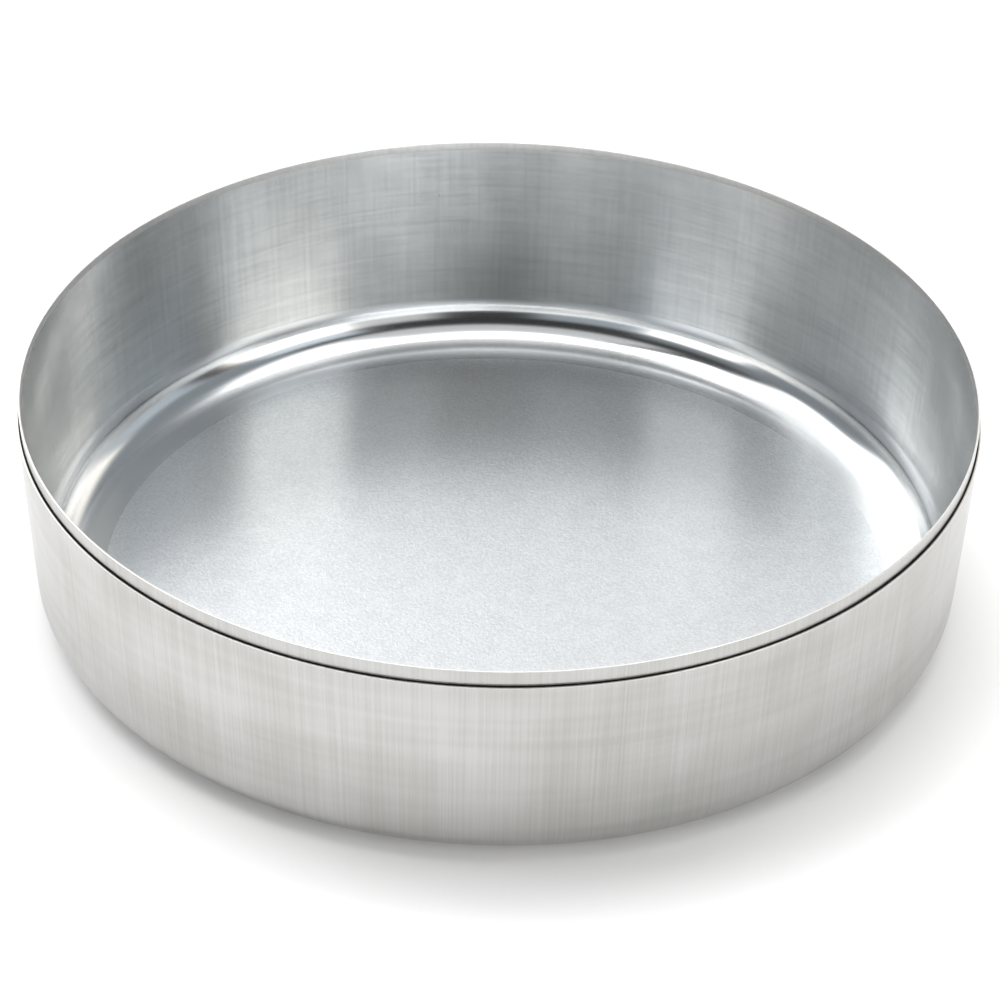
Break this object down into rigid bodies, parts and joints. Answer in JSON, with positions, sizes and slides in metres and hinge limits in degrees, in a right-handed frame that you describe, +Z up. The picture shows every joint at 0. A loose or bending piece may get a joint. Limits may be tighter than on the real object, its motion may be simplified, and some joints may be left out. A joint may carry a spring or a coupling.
{
  "type": "candle tin",
  "caption": "Shallow round drawn-aluminium candle tin standing in its upturned slip lid; the tin lifts straight out of the lid.",
  "frame": {"origin": "middle of the lid's flat underside, on the surface the assembly stands on", "axes": "+Z up along the axis that the tin and the lid share; X and Y are any two level directions, as both pieces are round"},
  "size_m": [0.1004, 0.1004, 0.0245],
  "materials": {
    "lid_aluminium": "bare drawn aluminium, satin, with fine upright drawing lines on the wall",
    "tin_aluminium": "bare drawn aluminium, satin grained floor, brighter corner bend and wall with faint rings"
  },
  "bodies": {
    "lid": {"lid": "lid_aluminium"},
    "tin": {"tin_body": "tin_aluminium"}
  },
  "joints": [
    {"name": "tin_lift", "type": "slide", "parent": "lid", "child": "tin", "axis": [0, 0, 1], "range_m": [0, 0.03]}
  ]
}
